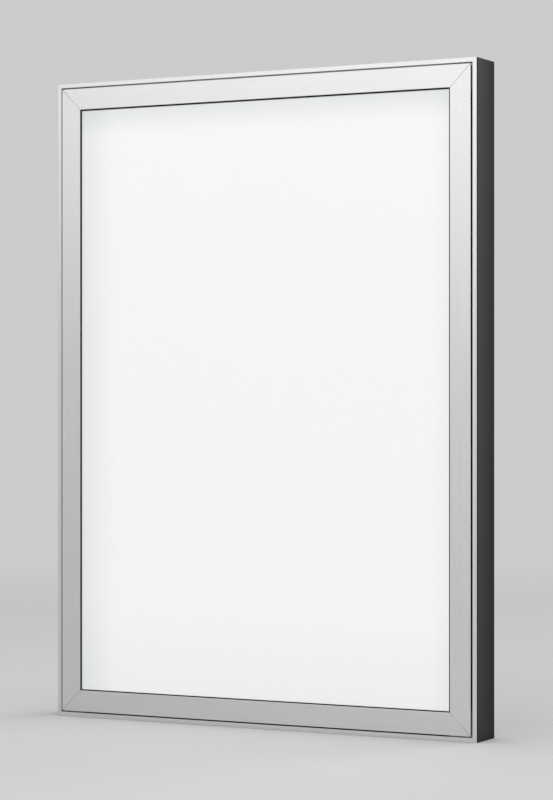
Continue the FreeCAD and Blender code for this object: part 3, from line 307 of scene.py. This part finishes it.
def moulded(name, colour, roughness, grain_depth=0.02 * MILLIMETRE, scatter=0.0):
    """Moulded plastic: spark-eroded grain, slow change of gloss, softened edges."""
    graph = Graph(name)
    grain = graph.noise(scale=1800.0, detail=3.0)
    flow = graph.noise(scale=60.0, detail=2.0)
    colour_now = graph.tint(graph.spread(flow, 0, 1), shade(colour, 0.94), shade(colour, 1.05))
    graph.principled(Base_Color=colour_now, Roughness=graph.spread(flow, roughness - 0.04, roughness + 0.04),
                     Normal=graph.bump(grain, grain_depth, 0.5, graph.soft_edges(0.12 * MILLIMETRE)),
                     Subsurface_Weight=scatter, Subsurface_Scale=MILLIMETRE)
    return graph


def opal():
    """An evenly lit opal sheet. The LED bars' light thins out near the frame, each side in its own way."""
    graph = Graph("opal_plastic")
    sheet_low, sheet_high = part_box("opal_diffuser")
    # The axis, where the frame hides the sheet, how far the loss reaches inwards from there, and the loss.
    falls = (
        ("X", sheet_low.x + PANEL_HIDDEN_EDGE, 0.045, 0.115),
        ("X", sheet_high.x - PANEL_HIDDEN_EDGE, -0.024, 0.06),
        ("Z", sheet_high.z - PANEL_HIDDEN_EDGE, -0.031, 0.14),
        ("Z", sheet_low.z + PANEL_HIDDEN_EDGE, 0.1, 0.05),
    )
    level = 1.0
    for axis, start, reach, loss in falls:
        inside = graph.ramp(axis, start, start + reach, "SMOOTHSTEP")
        level = graph.maths("MULTIPLY", level, graph.spread(inside, 1 - loss, 1.0, 0, 1))
    # A thin painted shadow line where the top lip rests. Its lower part shows as the painted shadow under the
    # lip.
    foot = sheet_high.z - PANEL_HIDDEN_EDGE - PAINTED_LIP_SHADOW_DROP
    head = foot + PAINTED_LIP_SHADOW_HEIGHT
    line = graph.maths("SUBTRACT", graph.ramp("Z", foot, foot + PAINTED_LIP_SHADOW_FADE),
                       graph.ramp("Z", head, head + PAINTED_LIP_SHADOW_FADE))
    level = graph.maths("MULTIPLY", level, graph.spread(line, 1.0, PAINTED_LIP_SHADOW_LEVEL, 0, 1))
    mottle = graph.spread(graph.noise(scale=900.0), 0.995, 1.005)
    glow = graph.tint(graph.spread(level, 0, 1, 0.82, 0.95), (0.95, 1.0, 0.99), (1.0, 1.0, 1.0))
    strength = graph.maths("MULTIPLY", graph.maths("MULTIPLY", level, PANEL_GLOW), mottle)
    graph.principled(Base_Color=(0.12, 0.12, 0.12, 1), Roughness=0.55, Emission_Color=glow,
                     Emission_Strength=strength)
    return graph


def clear_sheet():
    """A thin clear cover: nearly all light passes, with a soft anti-glare reflection."""
    graph = Graph("clear_plastic")
    etch = graph.noise(scale=3000.0, detail=1.0)
    gloss = graph.add("ShaderNodeBsdfGlossy", {
        "Color": (1, 1, 1, 1), "Roughness": graph.spread(etch, 0.28, 0.34),
        "Normal": graph.bump(etch, 0.01 * MILLIMETRE, 0.3),
    })
    through = graph.add("ShaderNodeBsdfTransparent", {"Color": (0.99, 0.99, 0.99, 1)})
    # The same share of light is reflected on the way in and on the way out.
    slant = graph.add("ShaderNodeLayerWeight", {"Blend": 0.5}).outputs["Facing"]
    rise = graph.maths("POWER", slant, REFLECTION_RISE)
    share = graph.spread(rise, REFLECTED_FACE_ON, REFLECTED_EDGE_ON, 0, 1)
    graph.mix_surface(share, through.outputs["BSDF"], gloss.outputs["BSDF"])
    return graph


def lens_plastic():
    """Clear moulded lenses with a light frost."""
    graph = Graph("lens_plastic")
    frost = graph.noise(scale=2200.0)
    graph.principled(Base_Color=(0.92, 0.93, 0.94, 1), Roughness=graph.spread(frost, 0.16, 0.26), IOR=1.49,
                     Transmission_Weight=0.85, Normal=graph.bump(frost, 0.01 * MILLIMETRE, 0.4))
    return graph


def phosphor():
    """A yellow phosphor fill, mottled, with a faint glow."""
    graph = Graph("led_phosphor")
    specks = graph.noise(scale=4000.0, detail=3.0)
    colour = graph.tint(graph.spread(specks, 0, 1), (0.85, 0.66, 0.12), (0.95, 0.8, 0.28))
    graph.principled(Base_Color=colour, Roughness=0.3, Emission_Color=(1.0, 0.95, 0.85, 1),
                     Emission_Strength=2.0)
    return graph


# ---------------------------------------------------------------- which node has which material


def rail_materials():
    """The rails' materials. Their lines run along the rail, so each has a version for X and one for Z."""
    bright = {axis: silver(axis) for axis in "XZ"}
    base = {axis: silver_with_painted_shade(axis) for axis in "XZ"}
    dark = {axis: graphite(axis) for axis in "XZ"}
    given = {}
    for side in SIDES:
        axis = RUN_AXIS[side]
        given[f"housing_rail_{side}"] = dark[axis]
        given[f"snap_cover_{side}"] = bright[axis]
        # The top base rail gets no painted shade, so that the groove along it stays light.
        given[f"snap_base_{side}"] = bright[axis] if side == "top" else base[axis]
    return given


def repeated_materials():
    """Pieces that come once for each side, corner or LED bar."""
    seal = rubber()
    spring = plain_metal("spring_steel", (0.56, 0.56, 0.57), 0.24)
    cast = plain_metal("cast_zinc", (0.5, 0.5, 0.51), 0.5, 500.0, 0.05 * MILLIMETRE)
    board = moulded("white_board", (0.86, 0.86, 0.83), 0.35, 0.01 * MILLIMETRE)
    given = {"snap_base_corner_keys": cast}
    for side in SIDES:
        given[f"cover_lip_seal_{side}"] = seal
        given[f"cover_springs_{side}"] = spring
    for corner in CORNERS:
        given[f"housing_corner_key_{corner}"] = cast
    for number in range(1, LED_BAR_COUNT + 1):
        given[f"led_bar_{number}"] = board
    return given


def other_materials():
    """The sheets, the small fasteners and the electrical pieces."""
    zinc = plain_metal("zinc_plated_steel", (0.68, 0.69, 0.71), 0.26)
    oxide = plain_metal("black_oxide_steel", (0.09, 0.09, 0.095), 0.42)
    nickel = plain_metal("nickel_brass", (0.66, 0.63, 0.57), 0.24)
    black = moulded("black_plastic", (0.045, 0.045, 0.048), 0.42)
    nylon = moulded("white_nylon", (0.82, 0.82, 0.79), 0.42, 0.01 * MILLIMETRE, 0.2)
    return {
        "corner_key_grub_screws": oxide,
        "snap_base_screws": zinc,
        "clear_cover_sheet": clear_sheet(),
        "opal_diffuser": opal(),
        "diffuser_foam_tape": moulded("white_foam", (0.8, 0.8, 0.79), 0.85, 0.12 * MILLIMETRE),
        "reflector_sheet": moulded("white_film", (0.93, 0.93, 0.92), 0.6, 0.005 * MILLIMETRE),
        "back_panel": rolled_sheet(),
        "back_panel_screws": zinc,
        "led_packages": phosphor(),
        "led_lenses": lens_plastic(),
        "led_bar_screws": zinc,
        "terminal_blocks": nylon,
        "wires_positive": moulded("red_insulation", (0.5, 0.02, 0.02), 0.35, 0.005 * MILLIMETRE),
        "wires_negative": moulded("black_insulation", (0.018, 0.018, 0.018), 0.35, 0.005 * MILLIMETRE),
        "wire_clips": nylon,
        "inlet_tray": moulded("charcoal_plastic", (0.075, 0.075, 0.078), 0.55, 0.05 * MILLIMETRE),
        "inlet_tray_screws": oxide,
        "rocker_switch_case": black,
        "rocker_switch_paddle": moulded("black_gloss_plastic", (0.02, 0.02, 0.021), 0.16, 0.004 * MILLIMETRE),
        "dc_jack_body": black,
        "dc_jack_pin": nickel,
        "dc_jack_nut": nickel,
        "power_terminals": nickel,
    }


def paint_nodes():
    """Gives every CAD node its material."""
    given = {**rail_materials(), **repeated_materials(), **other_materials()}
    for name, node in nodes.items():
        node.data.materials.clear()
        node.data.materials.append(given[name].material)


paint_nodes()

# ---------------------------------------------------------------- stage and lights

FLOOR_SIZE = 60.0
FLOOR_COLOUR = (0.7, 0.7, 0.7)
WORLD_COLOUR = (0.6, 0.6, 0.6)
FADE_START, FADE_END = 0.7, 2.6

# Each soft light's place, the point it faces, its width and height, and its power in watts.
SOFT_LIGHTS = {
    "key": ((-0.45, -2.1, 1.35), (0.0, 0.0, 0.4), 2.6, 1.5, 12.2),
    "fill": ((0.45, -2.3, 0.3), (0.0, 0.0, 0.3), 1.5, 0.7, 3.2),
    "overhead": ((0.1, -0.1, 1.9), (0.1, 0.0, 0.3), 1.2, 1.0, 6.0),
    "rear": ((1.0, 1.6, 1.9), (0.2, 0.0, 0.6), 1.0, 0.8, 9.0),
}


def make_floor():
    """A wide pale floor that passes into the pale surroundings, so that no horizon shows."""
    bpy.ops.mesh.primitive_plane_add(size=FLOOR_SIZE)
    floor = bpy.context.object
    floor.name = "floor"
    graph = Graph("floor")
    grain = graph.noise(scale=60.0, detail=4.0)
    graph.principled(Base_Color=graph.tint(grain, shade(FLOOR_COLOUR, 0.99), shade(FLOOR_COLOUR, 1.01)),
                     Roughness=0.85, Specular_IOR_Level=0.15)
    distance = graph.add("ShaderNodeVectorMath", {0: graph.coordinates()}, operation="LENGTH")
    far = graph.add("ShaderNodeMapRange", {
        "Value": distance.outputs["Value"], "From Min": FADE_START, "From Max": FADE_END,
    }, interpolation_type="SMOOTHSTEP").outputs["Result"]
    haze = graph.add("ShaderNodeEmission", {"Color": (*WORLD_COLOUR, 1)})
    graph.mix_surface(far, graph.shader.outputs["BSDF"], haze.outputs["Emission"])
    floor.data.materials.append(graph.material)


def make_world():
    """Even pale surroundings."""
    world = bpy.data.worlds.new("world")
    world.use_nodes = True
    background = world.node_tree.nodes["Background"]
    background.inputs["Color"].default_value = (*WORLD_COLOUR, 1)
    background.inputs["Strength"].default_value = 1.0
    bpy.context.scene.world = world


def soft_light(name, spot, aim, width, height, power):
    """A rectangular soft light at a spot, facing a point."""
    data = bpy.data.lights.new(name, "AREA")
    data.shape = "RECTANGLE"
    data.size, data.size_y = width, height
    data.energy = power
    light = bpy.data.objects.new(name, data)
    light.location = Vector(spot)
    light.rotation_euler = (Vector(aim) - Vector(spot)).to_track_quat("-Z", "Y").to_euler()
    light.visible_camera = False
    bpy.context.scene.collection.objects.link(light)


make_floor()
make_world()
for light_name, light_settings in SOFT_LIGHTS.items():
    soft_light(light_name, *light_settings)
bpy.context.scene.view_settings.view_transform = "Standard"
